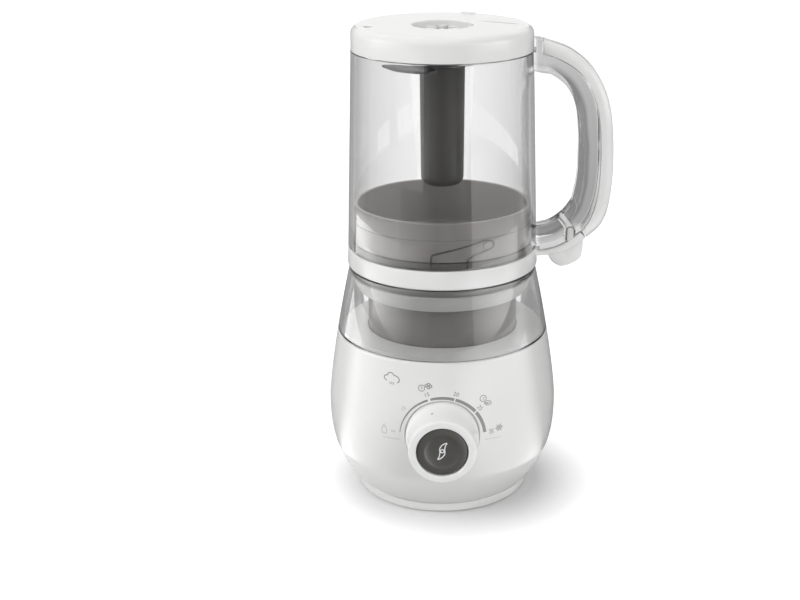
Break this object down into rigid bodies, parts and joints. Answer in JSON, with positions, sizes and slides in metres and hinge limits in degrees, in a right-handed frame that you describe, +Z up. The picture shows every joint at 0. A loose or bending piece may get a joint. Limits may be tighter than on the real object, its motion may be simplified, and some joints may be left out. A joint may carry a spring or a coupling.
{
  "type": "baby food maker",
  "caption": "Egg-shaped motor base with a timer knob, clear water tank collar and a clear handled jar standing mouth down on its lid, for steaming and blending baby food.",
  "frame": {"origin": "on the jar's axis at the table, under the middle of the base plate", "axes": "+Z up along the jar's axis, +X towards the handle, -Y towards the timer knob"},
  "size_m": [0.1701, 0.1595, 0.2858],
  "materials": {
    "white_plastic": "moulded white plastic, satin gloss",
    "grey_plastic": "moulded warm grey plastic, fine satin",
    "pale_grey_plastic": "moulded pale grey plastic, satin",
    "dark_grey_plastic": "moulded dark grey plastic, fine satin",
    "clear_plastic": "clear moulded copolyester, polished",
    "stainless_steel": "brushed stainless steel",
    "sintered_bronze": "oil filled sintered bronze",
    "copper_winding": "varnished copper winding on a steel stack",
    "cast_aluminium": "die cast aluminium, as cast",
    "black_rubber": "moulded black rubber",
    "silicone": "translucent white silicone rubber",
    "circuit_board": "green lacquered circuit board"
  },
  "bodies": {
    "base": {"base_housing": "white_plastic", "base_plate": "white_plastic", "foot_1": "black_rubber", "foot_2": "black_rubber", "foot_3": "black_rubber", "foot_4": "black_rubber", "plate_screw_1": "stainless_steel", "plate_screw_2": "stainless_steel", "plate_screw_3": "stainless_steel", "plate_screw_4": "stainless_steel", "tank_collar": "clear_plastic", "inner_tower": "grey_plastic", "tower_shaft_seal": "black_rubber", "seat_ring": "pale_grey_plastic", "motor_bracket": "stainless_steel", "motor_can": "stainless_steel", "motor_end_cap": "dark_grey_plastic", "motor_field": "stainless_steel", "upper_bush": "sintered_bronze", "lower_bush": "sintered_bronze", "boiler": "cast_aluminium", "heating_element": "stainless_steel", "thermostat": "dark_grey_plastic", "steam_pipe": "silicone", "water_pipe": "silicone", "steam_nozzle": "pale_grey_plastic", "button_spring": "stainless_steel", "timer_body": "dark_grey_plastic", "button_switch": "dark_grey_plastic", "control_board": "circuit_board", "cord_gland": "dark_grey_plastic"},
    "rotor": {"motor_shaft": "stainless_steel", "armature": "copper_winding", "drive_coupling": "dark_grey_plastic"},
    "knob": {"control_knob": "white_plastic"},
    "button": {"blend_button": "dark_grey_plastic"},
    "jar": {"jar_body": "clear_plastic", "handle_spine": "white_plastic", "jar_cap": "white_plastic", "blade_bush": "sintered_bronze", "shaft_seal": "black_rubber"},
    "blade": {"blade_shaft": "stainless_steel", "driven_coupling": "pale_grey_plastic", "blade_hub": "dark_grey_plastic", "blade_upper": "stainless_steel", "blade_lower": "stainless_steel"},
    "lid": {"lid_cup": "grey_plastic", "lid_spigot": "pale_grey_plastic", "lid_ring": "white_plastic", "lid_seal": "silicone", "steam_strainer": "grey_plastic"}
  },
  "joints": [
    {"name": "knob_turn", "type": "hinge", "parent": "base", "child": "knob", "pos_m": [0, -0.0644, 0.0579], "axis": [0, 1, 0], "range_deg": [-102, 102]},
    {"name": "button_press", "type": "slide", "parent": "base", "child": "button", "axis": [0, 1, 0], "range_m": [0, 0.003], "stiffness_N_per_m": 300, "deforming": ["button_spring"]},
    {"name": "jar_lift", "type": "slide", "parent": "base", "child": "jar", "axis": [0, 0, 1], "range_m": [0, 0.1]},
    {"name": "lid_turn", "type": "hinge", "parent": "jar", "child": "lid", "pos_m": [0, 0, 0.1543], "axis": [0, 0, 1], "range_deg": [-28, 0]},
    {"name": "blade_spin", "type": "hinge", "parent": "jar", "child": "blade", "pos_m": [0, 0, 0.26], "axis": [0, 0, 1], "continuous": true},
    {"name": "motor_spin", "type": "hinge", "parent": "base", "child": "rotor", "pos_m": [0, 0, 0.09], "axis": [0, 0, 1], "continuous": true}
  ]
}
